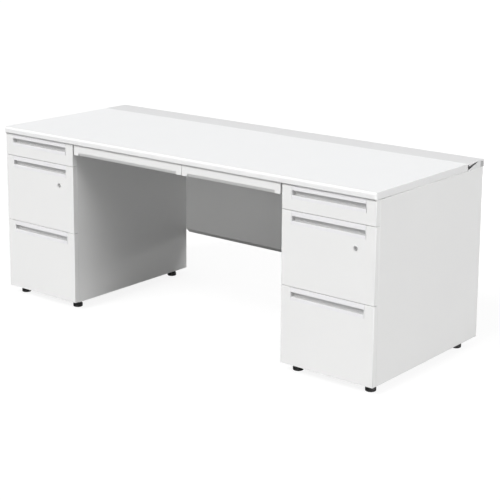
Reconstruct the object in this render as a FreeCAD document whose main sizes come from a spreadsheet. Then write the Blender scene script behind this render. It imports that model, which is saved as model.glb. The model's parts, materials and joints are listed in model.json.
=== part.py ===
import FreeCAD, Part
import math
import os
import Sketcher
from FreeCAD import Vector

# A steel office desk with two three-drawer pedestals and two shallow centre drawers.
# Frame: millimetres, +Z up, +X along the width, the sitter's side faces -Y.
# The origin is on the floor, under the middle of the desk.

doc = FreeCAD.newDocument("pedestal_desk")
sheet = doc.addObject("Spreadsheet::Sheet", "dims")

DIMENSIONS = {
    # whole desk
    "desk_width": 1800,
    "desk_depth": 700,
    "desk_height": 700,
    # worktop board and its edge mouldings
    "top_thickness": 25,
    "top_side_overhang": 2,
    "top_front_overhang": 8,
    "front_edge_depth": 14,
    "front_edge_top_radius": 10,
    "front_edge_bottom_radius": 4,
    "end_band_thickness": 1,
    # pedestal carcass, folded from sheet steel
    "pedestal_width": 385,
    "body_sheet": 1.2,
    "panel_depth": 20,
    "floor_gap": 30,
    "inner_panel_setback": 28,
    "end_panel_setback": 3,
    "back_panel_depth": 12,
    "bottom_flange": 8,
    "post_width": 40,
    "front_post_setback": 24,
    "rear_post_setback": 480,
    "tie_width": 40,
    "tie_height": 18,
    "front_tie_setback": 4,
    "rear_tie_clearance": 6,
    # levellers under the pedestals
    "leveller_side_inset": 40,
    "leveller_end_inset": 52,
    "leveller_radius": 19,
    "leveller_pad_height": 15,
    "leveller_edge_radius": 3,
    "leveller_neck_radius": 9,
    "leveller_neck_height": 5,
    "leveller_stem_radius": 4,
    "leveller_stem_top": 41,
    "nut_radius": 8,
    "nut_height": 9,
    "running_fit": 0.05,
    # drawer fronts
    "front_thickness": 20,
    "front_gap": 2,
    "front_clearance": 1,
    "front_lift": 2,
    "front_sheet": 1,
    "top_front_height": 87.5,
    "file_front_height": 267.5,
    # moulded pulls in the drawer fronts
    "pull_width": 305,
    "pull_height": 48,
    "pull_bar_height": 17.5,
    "pull_slot_height": 18,
    "pull_wall": 2,
    "pull_bar_thickness": 4,
    "pull_side_fit": 1,
    # drawer trays
    "tray_sheet": 1,
    "tray_depth": 560,
    "tray_lift": 10,
    "tray_headroom": 24,
    # telescopic rails
    "rail_space": 13,
    "rail_length": 550,
    "rail_height": 45,
    "rail_sheet": 1.2,
    "rail_gap": 0.4,
    "rail_lift": 28,
    "rail_setback": 4,
    # pen tray that lies in each top drawer
    "pen_tray_depth": 120,
    "pen_tray_height": 24,
    "pen_tray_wall": 2,
    "pen_tray_fit": 0.3,
    # cylinder locks on the file drawers
    "lock_inset": 78,
    "lock_drop": 83,
    "lock_case_radius": 7.5,
    "lock_bezel_radius": 8.5,
    "lock_bezel_height": 1.5,
    "lock_plug_radius": 5.5,
    "lock_rear_gap": 1.75,
    "lock_cam_gap": 0.25,
    "keyway_width": 1.4,
    "keyway_height": 6,
    "keyway_depth": 5,
    "lock_cam_length": 22,
    "lock_cam_width": 12,
    "lock_cam_thickness": 2,
    # shallow centre drawers under the worktop
    "centre_split": 53,
    "centre_end_gap": 8,
    "centre_front_height": 40,
    "centre_block_width": 25,
    "centre_lip_rise": 12,
    "centre_lip_slant": 7,
    "centre_tray_depth": 400,
    "centre_tray_height": 20,
    "guide_height": 16,
    "guide_width": 14,
    "guide_length": 430,
    "guide_gap": 0.3,
    "guide_side_gap": 1.5,
    # modesty panel across the knee space
    "modesty_floor_gap": 187,
    "modesty_hem_radius": 18,
    "modesty_flange": 15,
    "strap_reach": 18,
    "strap_sheet": 2,
    # wiring duct along the rear edge, with two flip lids
    "duct_depth": 118,
    "duct_wall_height": 13,
    "duct_ledge": 7,
    "duct_slot_width": 120,
    "duct_slot_depth": 40,
    "lid_sheet": 2,
    "lid_gap": 1,
    "lid_front_gap": 2.5,
    "lid_lip_height": 8,
    "lid_gusset": 50,
    "cheek_notch": 72,
    "cheek_rear_gap": 24,
    "hinge_pin_radius": 2.5,
    "hinge_wall": 2,
    "hinge_offset": 7,
    "hinge_inset": 150,
    "knuckle_length": 40,
    "lug_width": 8,
    "lug_gap": 0.3,
    # extra length of every cutting shape
    "overrun": 5,
}


class Size:
    """A length kept both as a formula over the sheet's cells and as its value."""

    def __init__(self, formula, value):
        self.formula = formula
        self.value = value

    def joined(self, sign, other, value):
        return Size(f"({self.formula} {sign} {other.formula})", value)

    def __add__(self, other):
        other = as_size(other)
        return self.joined("+", other, self.value + other.value)

    def __sub__(self, other):
        other = as_size(other)
        return self.joined("-", other, self.value - other.value)

    def __mul__(self, other):
        other = as_size(other)
        return self.joined("*", other, self.value * other.value)

    def __truediv__(self, other):
        other = as_size(other)
        return self.joined("/", other, self.value / other.value)

    def __neg__(self):
        return Size(f"(-1 * {self.formula})", -self.value)

    __rmul__ = __mul__


def as_size(number):
    return number if isinstance(number, Size) else Size(str(number), number)


def fill_sheet():
    """One row for each driving dimension: its name, its number and the alias."""
    for row, (name, number) in enumerate(DIMENSIONS.items(), start=1):
        sheet.set(f"A{row}", name)
        sheet.set(f"B{row}", str(number))
        sheet.setAlias(f"B{row}", name)
    doc.recompute()


def size(name):
    return Size(f"dims.{name}", DIMENSIONS[name])


def bind(item, prop, length):
    item.setExpression(prop, as_size(length).formula)


def span(first, second):
    """The two ends of a range in rising order."""
    ends = [as_size(first), as_size(second)]
    return sorted(ends, key=lambda end: end.value)


def length_of(ends):
    return ends[1] - ends[0]


# Sketches, pads and pockets

ZERO = as_size(0)
OVERRUN = size("overrun")


class Bend:
    """An arc between two corners of an outline, about the given centre."""

    def __init__(self, centre_u, centre_v, clockwise=False):
        self.centre = (as_size(centre_u), as_size(centre_v))
        self.clockwise = clockwise


def add_arc(sketch, start, end, bend):
    """Add one arc and return its number with the ends in the order of travel."""
    centre = Vector(bend.centre[0].value, bend.centre[1].value, 0)
    radius = math.dist((start[0].value, start[1].value), (centre.x, centre.y))
    angles = []
    for corner in (start, end):
        angles.append(math.atan2(corner[1].value - centre.y, corner[0].value - centre.x))
    first, last = reversed(angles) if bend.clockwise else angles
    circle = Part.Circle(centre, Vector(0, 0, 1), radius)
    number = sketch.addGeometry(Part.ArcOfCircle(circle, first, last))
    name = f"centre{number}"
    sketch.addConstraint(Sketcher.Constraint("DistanceX", number, 3, centre.x))
    sketch.renameConstraint(sketch.ConstraintCount - 1, name)
    bind(sketch, f"Constraints.{name}", bend.centre[0])
    return (number, 2, 1) if bend.clockwise else (number, 1, 2)


def fix_point(sketch, edge, corner):
    """Hold the start of an edge at its two coordinates."""
    number, start, _ = edge
    for kind, letter, axis, length in (("DistanceX", "u", -2, corner[0]), ("DistanceY", "v", -1, corner[1])):
        if length.formula == ZERO.formula:
            sketch.addConstraint(Sketcher.Constraint("PointOnObject", number, start, axis))
            continue
        sketch.addConstraint(Sketcher.Constraint(kind, number, start, length.value))
        name = f"{letter}{number}"
        sketch.renameConstraint(sketch.ConstraintCount - 1, name)
        bind(sketch, f"Constraints.{name}", length)


def add_loop(sketch, outline):
    """Draw one closed outline of corners, with a Bend wherever an edge is round."""
    corners = []
    bends = {}
    for item in outline:
        if isinstance(item, Bend):
            bends[len(corners) - 1] = item
        else:
            corners.append((as_size(item[0]), as_size(item[1])))
    edges = []
    for place, start in enumerate(corners):
        end = corners[(place + 1) % len(corners)]
        if place in bends:
            edges.append(add_arc(sketch, start, end, bends[place]))
            continue
        low = Vector(start[0].value, start[1].value, 0)
        high = Vector(end[0].value, end[1].value, 0)
        edges.append((sketch.addGeometry(Part.LineSegment(low, high)), 1, 2))
    for place, edge in enumerate(edges):
        after = edges[(place + 1) % len(edges)]
        sketch.addConstraint(Sketcher.Constraint("Coincident", edge[0], edge[2], after[0], after[1]))
    for edge, corner in zip(edges, corners):
        fix_point(sketch, edge, corner)


def sketch_on(body, plane, loops, start=ZERO):
    """A sketch on one of the body's own planes, moved along its normal by start."""
    drawing = body.newObject("Sketcher::SketchObject", f"{body.Name}_sketch")
    support = [item for item in body.Origin.OriginFeatures if item.Role == plane]
    drawing.AttachmentSupport = [(support[0], "")]
    drawing.MapMode = "FlatFace"
    bind(drawing, "AttachmentOffset.Base.z", start)
    for outline in loops:
        add_loop(drawing, outline)
    return drawing


def new_body(label, plane, along):
    """A body whose plane lies at the start of the range along its normal."""
    body = doc.addObject("PartDesign::Body", label)
    body.Label = label
    axis = {"YZ_Plane": "x", "XZ_Plane": "y", "XY_Plane": "z"}[plane]
    base = along[1] if plane == "XZ_Plane" else along[0]
    bind(body, f"Placement.Base.{axis}", base)
    return body


def pad(body, plane, loops, depth, start=ZERO):
    feature = body.newObject("PartDesign::Pad", f"{body.Name}_pad")
    feature.Profile = sketch_on(body, plane, loops, start)
    bind(feature, "Length", depth)
    return feature


def pocket(body, plane, loops, depth, start=ZERO):
    """Cut from start, along the plane's normal, by depth."""
    feature = body.newObject("PartDesign::Pocket", f"{body.Name}_pocket")
    feature.Profile = sketch_on(body, plane, loops, start)
    feature.Reversed = True
    bind(feature, "Length", depth)
    return feature


def rectangle(u, v):
    return [(u[0], v[0]), (u[1], v[0]), (u[1], v[1]), (u[0], v[1])]


def inset(ends, wall):
    return [ends[0] + wall, ends[1] - wall]


def profile(label, plane, outline, along):
    """A bar of constant section."""
    body = new_body(label, plane, along)
    pad(body, plane, [outline], length_of(along))
    return body


def pan(label, plane, u, v, along, wall, open_far):
    """A folded sheet pan: one skin with a return on each of its four edges."""
    body = new_body(label, plane, along)
    depth = length_of(along)
    pad(body, plane, [rectangle(u, v)], depth)
    inner = rectangle(inset(u, wall), inset(v, wall))
    start = wall if open_far else -OVERRUN
    pocket(body, plane, [inner], depth - wall + OVERRUN, start)
    return body


def turned(label, outline, x, y, z):
    """A round piece about an upright axis; the outline is radius against height."""
    body = doc.addObject("PartDesign::Body", label)
    body.Label = label
    for axis, length in (("x", x), ("y", y), ("z", z)):
        bind(body, f"Placement.Base.{axis}", length)
    drawing = sketch_on(body, "XZ_Plane", [outline])
    feature = body.newObject("PartDesign::Revolution", f"{label}_turn")
    feature.Profile = drawing
    feature.ReferenceAxis = (drawing, ["V_Axis"])
    feature.Angle = 360
    return body


# Plain solids and booleans

def block(label, x, y, z):
    item = doc.addObject("Part::Box", label)
    item.Label = label
    for axis, prop, ends in (("x", "Length", x), ("y", "Width", y), ("z", "Height", z)):
        bind(item, prop, length_of(ends))
        bind(item, f"Placement.Base.{axis}", ends[0])
    return item


AXIS_TURNS = {
    "x": FreeCAD.Rotation(Vector(0, 1, 0), 90),
    "y": FreeCAD.Rotation(Vector(1, 0, 0), -90),
    "z": FreeCAD.Rotation(),
}


def rod(label, axis, radius, along, x, y, z):
    """A cylinder; its own axis takes the range along, in place of that coordinate."""
    item = doc.addObject("Part::Cylinder", label)
    item.Label = label
    item.Placement = FreeCAD.Placement(Vector(), AXIS_TURNS[axis])
    bind(item, "Radius", radius)
    bind(item, "Height", length_of(along))
    places = {"x": x, "y": y, "z": z, axis: along[0]}
    for letter, length in places.items():
        bind(item, f"Placement.Base.{letter}", length)
    return item


def combine(kind, label, pieces):
    item = doc.addObject(kind, label)
    item.Label = label
    if kind == "Part::Compound":
        item.Links = pieces
    else:
        item.Shapes = pieces
    return item


def fuse(label, pieces):
    return combine("Part::MultiFuse", label, pieces)


def group(label, pieces):
    return combine("Part::Compound", label, pieces)


def cut(label, base, tools):
    item = doc.addObject("Part::Cut", label)
    item.Label = label
    item.Base = base
    item.Tool = tools[0] if len(tools) == 1 else fuse(f"{label}_tools", tools)
    return item


# Levels and planes that several pieces share

fill_sheet()

half_width = size("desk_width") / 2
top_face = size("desk_height")
under_top = top_face - size("top_thickness")
front_edge = -(size("desk_depth") / 2)
rear_edge = size("desk_depth") / 2
front_face = front_edge + size("top_front_overhang")
front_back = front_face + size("front_thickness")
carcass_front = front_back + size("front_clearance")
end_panel_rear = rear_edge - size("end_panel_setback")
inner_panel_rear = rear_edge - size("inner_panel_setback")
back_panel_front = inner_panel_rear - size("back_panel_depth")
floor_gap = size("floor_gap")
body_sheet = size("body_sheet")
panel_depth = size("panel_depth")
outer_x = half_width - size("top_side_overhang")
inner_x = outer_x - size("pedestal_width")
middle_x = (outer_x + inner_x) / 2
duct_front = rear_edge - size("duct_depth")

SIDES = {"left": -1, "right": 1}


# Worktop

def make_worktop():
    board_front = front_edge + size("front_edge_depth")
    board_end = half_width - size("end_band_thickness")
    board_z = [under_top, top_face]
    board = block("worktop", [-board_end, board_end], [board_front, duct_front], board_z)
    upper = size("front_edge_top_radius")
    lower = size("front_edge_bottom_radius")
    soft_front = [
        (board_front, under_top),
        (board_front, top_face),
        (front_edge + upper, top_face),
        Bend(front_edge + upper, top_face - upper),
        (front_edge, top_face - upper),
        (front_edge, under_top + lower),
        Bend(front_edge + lower, under_top + lower),
        (front_edge + lower, under_top),
    ]
    edges = [profile("front_edge_moulding", "YZ_Plane", soft_front, [-half_width, half_width])]
    for name, side in SIDES.items():
        end_x = span(side * board_end, side * half_width)
        edges.append(block(f"{name}_end_band", end_x, [board_front, duct_front], board_z))
    return [board, group("worktop_edges", edges)]


# Pedestal carcasses

def make_panels(name, side):
    """The end panel, the inner panel, the back and the bottom of one pedestal."""
    height = [floor_gap, under_top]
    end_y = [carcass_front, end_panel_rear]
    inner_y = [carcass_front, inner_panel_rear]
    end_x = span(side * outer_x, side * (outer_x - panel_depth))
    inner_span = span(side * inner_x, side * (inner_x + panel_depth))
    end_panel = pan(f"{name}_end_panel", "YZ_Plane", end_y, height, end_x, body_sheet, side < 0)
    inner_panel = pan(f"{name}_inner_panel", "YZ_Plane", inner_y, height, inner_span, body_sheet, side > 0)
    back_x = span(side * (outer_x - body_sheet), side * (inner_x + panel_depth))
    back_z = [floor_gap + body_sheet, under_top - body_sheet]
    back_y = [back_panel_front, inner_panel_rear]
    back_panel = pan(f"{name}_back_panel", "XZ_Plane", back_x, back_z, back_y, body_sheet, True)
    return [end_panel, inner_panel, back_panel, make_bottom(name, side)]


def leveller_places(side):
    """Name and centre of each of the four levellers under one pedestal."""
    insets = {
        "outer": outer_x - size("leveller_side_inset"),
        "inner": inner_x + size("leveller_side_inset"),
    }
    ends = {
        "front": front_face + size("leveller_end_inset"),
        "rear": inner_panel_rear - size("leveller_end_inset"),
    }
    places = {}
    for across, x in insets.items():
        for along, y in ends.items():
            places[f"{across}_{along}"] = (side * x, y)
    return places


def make_bottom(name, side):
    """A pan between the panels with a welded nut over each leveller."""
    pan_x = span(side * (outer_x - body_sheet), side * (inner_x + body_sheet))
    pan_y = [carcass_front + body_sheet, back_panel_front]
    pan_z = [floor_gap + body_sheet, floor_gap + body_sheet * 2 + size("bottom_flange")]
    body = new_body(f"{name}_bottom_sheet", "XY_Plane", pan_z)
    depth = length_of(pan_z)
    pad(body, "XY_Plane", [rectangle(pan_x, pan_y)], depth)
    inner = rectangle([pan_x[0] - OVERRUN, pan_x[1] + OVERRUN], inset(pan_y, body_sheet))
    pocket(body, "XY_Plane", [inner], depth - body_sheet + OVERRUN, body_sheet)
    nuts = []
    bores = []
    bore_radius = size("leveller_stem_radius") + size("running_fit")
    nut_z = [pan_z[0] - size("nut_height"), pan_z[0]]
    bore_z = [nut_z[0] - OVERRUN, pan_z[0] + body_sheet + OVERRUN]
    for place, (x, y) in leveller_places(side).items():
        nuts.append(rod(f"{name}_{place}_nut", "z", size("nut_radius"), nut_z, x, y, ZERO))
        bores.append(rod(f"{name}_{place}_bore", "z", bore_radius, bore_z, x, y, ZERO))
    solid = fuse(f"{name}_bottom_blank", [body] + nuts)
    return cut(f"{name}_bottom_pan", solid, bores)


def make_posts_and_ties():
    """Upright rail posts inside the panels, and tie rails under the worktop."""
    posts = []
    ties = []
    post_z = [floor_gap + body_sheet * 3, under_top - body_sheet]
    setbacks = {"front": size("front_post_setback"), "rear": size("rear_post_setback")}
    for name, side in SIDES.items():
        faces = {
            "end": (side * (outer_x - body_sheet), side * (outer_x - panel_depth)),
            "inner": (side * (inner_x + body_sheet), side * (inner_x + panel_depth)),
        }
        for panel, (root, face) in faces.items():
            for end, setback in setbacks.items():
                y = carcass_front + setback
                post_y = [y, y + size("post_width")]
                label = f"{name}_{panel}_{end}_post"
                posts.append(make_post(label, root, face, post_y, post_z))
        tie_x = span(side * (outer_x - panel_depth), side * (inner_x + panel_depth))
        front_tie = carcass_front + size("front_tie_setback")
        rear_tie = duct_front - size("rear_tie_clearance") - size("tie_width")
        for end, tie_y in (("front", front_tie), ("rear", rear_tie)):
            tie_z = [under_top - size("tie_height"), under_top]
            outline = channel_up([tie_y, tie_y + size("tie_width")], tie_z)
            ties.append(profile(f"{name}_{end}_tie", "YZ_Plane", outline, tie_x))
    return [group("rail_posts", posts), group("tie_rails", ties)]


def make_post(label, root, face, post_y, post_z):
    """A channel that stands on its two edges against the panel's skin."""
    towards = 1 if face.value > root.value else -1
    web = face - towards * body_sheet
    inner_y = inset(post_y, body_sheet)
    outline = [
        (root, post_y[0]),
        (face, post_y[0]),
        (face, post_y[1]),
        (root, post_y[1]),
        (root, inner_y[1]),
        (web, inner_y[1]),
        (web, inner_y[0]),
        (root, inner_y[0]),
    ]
    return profile(label, "XY_Plane", outline, post_z)


def channel_up(u, v):
    """The section of a channel that opens downwards."""
    inner = inset(u, body_sheet)
    return [
        (u[0], v[0]),
        (u[0], v[1]),
        (u[1], v[1]),
        (u[1], v[0]),
        (inner[1], v[0]),
        (inner[1], v[1] - body_sheet),
        (inner[0], v[1] - body_sheet),
        (inner[0], v[0]),
    ]


def make_levellers(name, side):
    """Round pads on threaded stems that screw into the bottom's nuts."""
    pad_radius = size("leveller_radius")
    edge = size("leveller_edge_radius")
    pad_top = size("leveller_pad_height")
    neck = size("leveller_neck_radius")
    neck_top = pad_top + size("leveller_neck_height")
    stem = size("leveller_stem_radius")
    outline = [
        (ZERO, ZERO),
        (pad_radius - edge, ZERO),
        Bend(pad_radius - edge, edge),
        (pad_radius, edge),
        (pad_radius, pad_top - edge),
        (pad_radius - edge, pad_top),
        (neck, pad_top),
        (neck, neck_top),
        (stem, neck_top),
        (stem, size("leveller_stem_top")),
        (ZERO, size("leveller_stem_top")),
    ]
    pieces = []
    for place, (x, y) in leveller_places(side).items():
        pieces.append(turned(f"{name}_{place}_leveller", outline, x, y, ZERO))
    return pieces


# Telescopic rails

rail_sheet = size("rail_sheet")
rail_step = rail_sheet + size("rail_gap")
rail_y = [carcass_front + size("rail_setback"), carcass_front + size("rail_setback") + size("rail_length")]


def channel_bar(label, web, tip, centre_z, height, along):
    """A rail of channel section: an upright web at one side, two flanges to the tip."""
    towards = 1 if tip.value > web.value else -1
    inside = web + towards * rail_sheet
    low = centre_z - height / 2
    high = centre_z + height / 2
    outline = [
        (web, low),
        (tip, low),
        (tip, low + rail_sheet),
        (inside, low + rail_sheet),
        (inside, high - rail_sheet),
        (tip, high - rail_sheet),
        (tip, high),
        (web, high),
    ]
    return profile(label, "XZ_Plane", outline, along)


def rail_walls(side):
    """The two rail-carrying faces of a pedestal and the way from each to the drawer."""
    return {
        "end": (side * (outer_x - panel_depth), -side),
        "inner": (side * (inner_x + panel_depth), side),
    }


def make_rails(drawer, side, tray_floor, telescopic):
    """Cabinet, middle and drawer members of the two rails of one drawer."""
    height = size("rail_height")
    nest = rail_step * 2
    space = size("rail_space")
    centre_z = tray_floor + size("rail_lift")
    members = {"cabinet": [], "middle": [], "drawer": []}
    for wall, (face, towards) in rail_walls(side).items():
        label = f"{drawer}_{wall}"
        flange_tip = face + towards * (space - rail_step)
        bar = channel_bar(f"{label}_cabinet_rail", face, flange_tip, centre_z, height, rail_y)
        members["cabinet"].append(bar)
        drawer_height = height - nest
        drawer_tip = face + towards * rail_step
        if telescopic:
            middle_web = face + towards * rail_step
            bar = channel_bar(f"{label}_middle_rail", middle_web, flange_tip, centre_z, height - nest, rail_y)
            members["middle"].append(bar)
            drawer_height = drawer_height - nest
            drawer_tip = drawer_tip + towards * rail_step
        drawer_web = face + towards * space
        bar = channel_bar(f"{label}_drawer_rail", drawer_web, drawer_tip, centre_z, drawer_height, rail_y)
        members["drawer"].append(bar)
    return members


# Pedestal drawers

front_sheet = size("front_sheet")
tray_sheet = size("tray_sheet")
pull_half = size("pull_width") / 2


def drawer_levels():
    """Bottom and top of each front, counted down from the worktop."""
    top_high = under_top - size("front_gap")
    top_low = top_high - size("top_front_height")
    file_high = top_low - size("front_gap")
    file_low = file_high - size("file_front_height")
    deep_high = file_low - size("front_gap")
    deep_low = floor_gap + size("front_lift")
    return {
        "top": [top_low, top_high],
        "file": [file_low, file_high],
        "deep": [deep_low, deep_high],
    }


def make_front(label, side, levels):
    """A steel pan, open behind, with a notch in its top edge for the pull."""
    x = span(side * outer_x, side * inner_x)
    centre = side * middle_x
    y = [front_face, front_back]
    body = pan(label, "XZ_Plane", x, levels, y, front_sheet, False)
    notch_half = pull_half + size("pull_side_fit")
    notch_x = [centre - notch_half, centre + notch_half]
    notch_z = [levels[1] - size("pull_height"), levels[1] + OVERRUN]
    depth = size("front_thickness") + OVERRUN * 2
    pocket(body, "XZ_Plane", [rectangle(notch_x, notch_z)], depth, -OVERRUN)
    return body


def make_pull(label, side, top):
    """A moulded grip, flush with its front: a bar over a finger slot, and a pocket behind both."""
    centre = side * middle_x
    along = [centre - pull_half, centre + pull_half]
    wall = size("pull_wall")
    low = top - size("pull_height")
    bar_low = top - size("pull_bar_height")
    slot_low = bar_low - size("pull_slot_height")
    bar_back = front_face + size("pull_bar_thickness")
    pocket_back = front_back - wall
    body = new_body(label, "YZ_Plane", along)
    pad(body, "YZ_Plane", [rectangle([front_face, front_back], [low, top])], size("pull_width"))
    grip = [
        (front_face - OVERRUN, bar_low),
        (front_face - OVERRUN, slot_low),
        (pocket_back, slot_low),
        (pocket_back, top - wall),
        (bar_back, top - wall),
        (bar_back, bar_low),
    ]
    hollow = rectangle([front_face + wall, front_back + OVERRUN], [low + wall, slot_low - wall])
    pocket(body, "YZ_Plane", [grip, hollow], size("pull_width") - wall * 2, wall)
    return body


def make_tray(label, side, levels, drawer_rails):
    """An open sheet-steel box with its rails welded on and a plate that closes the front."""
    reach = size("pedestal_width") / 2 - panel_depth - size("rail_space")
    centre = side * middle_x
    floor = levels[0] + size("tray_lift")
    x = [centre - reach, centre + reach]
    y = [front_back, front_back + size("tray_depth")]
    z = [floor, levels[1] - size("tray_headroom")]
    box = pan(f"{label}_box", "XY_Plane", x, y, z, tray_sheet, True)
    plate_x = inset(span(side * outer_x, side * inner_x), front_sheet)
    plate_z = [levels[0] + front_sheet, levels[1] - size("pull_height")]
    plate = block(f"{label}_plate", plate_x, [front_back - tray_sheet, front_back], plate_z)
    return fuse(label, [box, plate] + drawer_rails)


PEN_TROUGHS = 3


def make_pen_tray(label, side, floor):
    """A moulded insert with long troughs, laid in the front of a top drawer."""
    reach = size("pedestal_width") / 2 - panel_depth - size("rail_space")
    reach = reach - tray_sheet - size("pen_tray_fit")
    centre = side * middle_x
    wall = size("pen_tray_wall")
    x = [centre - reach, centre + reach]
    front = front_back + tray_sheet + size("pen_tray_fit")
    y = [front, front + size("pen_tray_depth")]
    z = [floor + tray_sheet, floor + tray_sheet + size("pen_tray_height")]
    trough_step = (size("pen_tray_depth") - wall) / PEN_TROUGHS
    body = new_body(label, "XY_Plane", z)
    pad(body, "XY_Plane", [rectangle(x, y)], length_of(z))
    troughs = []
    for row in range(PEN_TROUGHS):
        low = front + wall + trough_step * row
        troughs.append(rectangle(inset(x, wall), [low, low + trough_step - wall]))
    pocket(body, "XY_Plane", troughs, length_of(z), wall)
    return body


def make_lock(name, side, front, top):
    """A lock case through the file drawer's front, and the plug that turns in it."""
    x = span(side * outer_x, side * inner_x)[1] - size("lock_inset")
    z = top - size("lock_drop")
    case_radius = size("lock_case_radius")
    cam_rear = front_back - size("lock_rear_gap")
    cam_y = [cam_rear - size("lock_cam_thickness"), cam_rear]
    case_rear = cam_y[0] - size("lock_cam_gap")
    bezel_front = front_face - size("lock_bezel_height")
    bore_radius = size("lock_plug_radius") + size("running_fit")
    hole_y = [front_face - OVERRUN, front_face + front_sheet + OVERRUN]
    hole = rod(f"{name}_lock_hole", "y", case_radius, hole_y, x, ZERO, z)
    drilled = cut(f"{name}_file_front", front, [hole])
    tube = rod(f"{name}_lock_tube", "y", case_radius, [front_face, case_rear], x, ZERO, z)
    bezel = rod(f"{name}_lock_bezel", "y", size("lock_bezel_radius"), [bezel_front, front_face], x, ZERO, z)
    bore_y = [bezel_front - OVERRUN, case_rear + OVERRUN]
    bore = rod(f"{name}_lock_bore", "y", bore_radius, bore_y, x, ZERO, z)
    case = cut(f"{name}_lock_case", fuse(f"{name}_lock_case_blank", [tube, bezel]), [bore])
    barrel = rod(f"{name}_lock_barrel", "y", size("lock_plug_radius"), [bezel_front, cam_y[1]], x, ZERO, z)
    cam_half = size("lock_cam_width") / 2
    cam_z = [z - cam_half, z + size("lock_cam_length")]
    cam = block(f"{name}_lock_cam", [x - cam_half, x + cam_half], cam_y, cam_z)
    key_x = [x - size("keyway_width") / 2, x + size("keyway_width") / 2]
    key_y = [bezel_front - OVERRUN, bezel_front + size("keyway_depth")]
    key_z = [z - size("keyway_height") / 2, z + size("keyway_height") / 2]
    keyway = block(f"{name}_keyway", key_x, key_y, key_z)
    plug = cut(f"{name}_lock_plug", fuse(f"{name}_lock_plug_blank", [barrel, cam]), [keyway])
    return [drilled, case, plug]


def make_pedestal_drawers(name, side):
    """Three drawers; the two deep ones run on telescopic rails."""
    pieces = []
    cabinet_rails = []
    for drawer, levels in drawer_levels().items():
        label = f"{name}_{drawer}"
        floor = levels[0] + size("tray_lift")
        telescopic = drawer != "top"
        members = make_rails(label, side, floor, telescopic)
        cabinet_rails += members["cabinet"]
        if telescopic:
            pieces.append(group(f"{label}_middle_rails", members["middle"]))
        if drawer == "file":
            blank = make_front(f"{label}_front_blank", side, levels)
            pieces += make_lock(name, side, blank, levels[1])
        else:
            pieces.append(make_front(f"{label}_front", side, levels))
        pieces.append(make_pull(f"{label}_pull", side, levels[1]))
        pieces.append(make_tray(f"{label}_tray", side, levels, members["drawer"]))
        if drawer == "top":
            pieces.append(make_pen_tray(f"{name}_pen_tray", side, floor))
    return pieces, cabinet_rails


# Centre drawers

def centre_ranges():
    """For each centre drawer the faces of its two guides, the seam side included."""
    split = size("centre_split")
    return {"left": (-inner_x, split), "right": (split, inner_x)}


def make_centre_front(name, x, z):
    """A face whose lower lip leans back between two end blocks, so that fingers hook behind it."""
    y = [front_face, front_back]
    face_low = z[0] + size("centre_lip_rise")
    width = size("centre_block_width")
    face = pan(f"{name}_centre_face", "XZ_Plane", x, [face_low, z[1]], y, front_sheet, False)
    lip_x = inset(x, width)
    sheet_back = front_face + front_sheet
    reach_z = [face_low - OVERRUN, face_low + front_sheet + OVERRUN]
    reach = block(f"{name}_centre_finger_reach", lip_x, [sheet_back, front_back + OVERRUN], reach_z)
    slant = size("centre_lip_slant")
    lip = [
        (front_face, face_low),
        (front_face + slant, z[0]),
        (sheet_back + slant, z[0]),
        (sheet_back, face_low),
    ]
    pieces = [cut(f"{name}_centre_open_face", face, [reach])]
    pieces.append(profile(f"{name}_centre_lip", "YZ_Plane", lip, lip_x))
    block_z = [z[0], face_low + front_sheet]
    for end, block_x in {"low": [x[0], x[0] + width], "high": [x[1] - width, x[1]]}.items():
        pieces.append(pan(f"{name}_centre_{end}_block", "XZ_Plane", block_x, block_z, y, front_sheet, False))
    return fuse(f"{name}_centre_front", pieces)


def make_centre_drawer(name, low, high):
    """A shallow drawer whose rims run in two channels under the worktop."""
    half_seam = size("front_gap") / 2
    left_gap = size("centre_end_gap") if name == "left" else half_seam
    right_gap = half_seam if name == "left" else size("centre_end_gap")
    front_x = [low + left_gap, high - right_gap]
    front_top = under_top - size("front_gap")
    front_low = front_top - size("centre_front_height")
    front = make_centre_front(name, front_x, [front_low, front_top])
    guide_reach = size("guide_width") + size("guide_side_gap")
    box_x = [low + guide_reach, high - guide_reach]
    rim_top = under_top - size("guide_height") + rail_sheet + size("guide_gap") + tray_sheet
    box_z = [rim_top - size("centre_tray_height"), rim_top]
    box_y = [front_back, front_back + size("centre_tray_depth")]
    box = pan(f"{name}_centre_box", "XY_Plane", box_x, box_y, box_z, tray_sheet, True)
    rim_gap = rail_sheet + size("guide_side_gap")
    rim_z = [rim_top - tray_sheet, rim_top]
    rim_y = [rail_y[0], box_y[1]]
    left_rim = block(f"{name}_centre_left_rim", [low + rim_gap, box_x[0]], rim_y, rim_z)
    right_rim = block(f"{name}_centre_right_rim", [box_x[1], high - rim_gap], rim_y, rim_z)
    plate_z = [front_low + size("centre_lip_rise") + front_sheet, front_top - front_sheet]
    plate_y = [front_back - tray_sheet, front_back]
    plate = block(f"{name}_centre_plate", inset(front_x, front_sheet), plate_y, plate_z)
    return [front, fuse(f"{name}_centre_tray", [box, plate, left_rim, right_rim])]


def make_centre_guides():
    """Channels fixed under the worktop, one at each side of each centre drawer."""
    height = size("guide_height")
    centre_z = under_top - height / 2
    along = [rail_y[0], rail_y[0] + size("guide_length")]
    bars = []
    for name, (low, high) in centre_ranges().items():
        width = size("guide_width")
        bars.append(channel_bar(f"{name}_centre_low_guide", low, low + width, centre_z, height, along))
        bars.append(channel_bar(f"{name}_centre_high_guide", high, high - width, centre_z, height, along))
    return group("centre_guides", bars)


# Modesty panel

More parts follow.
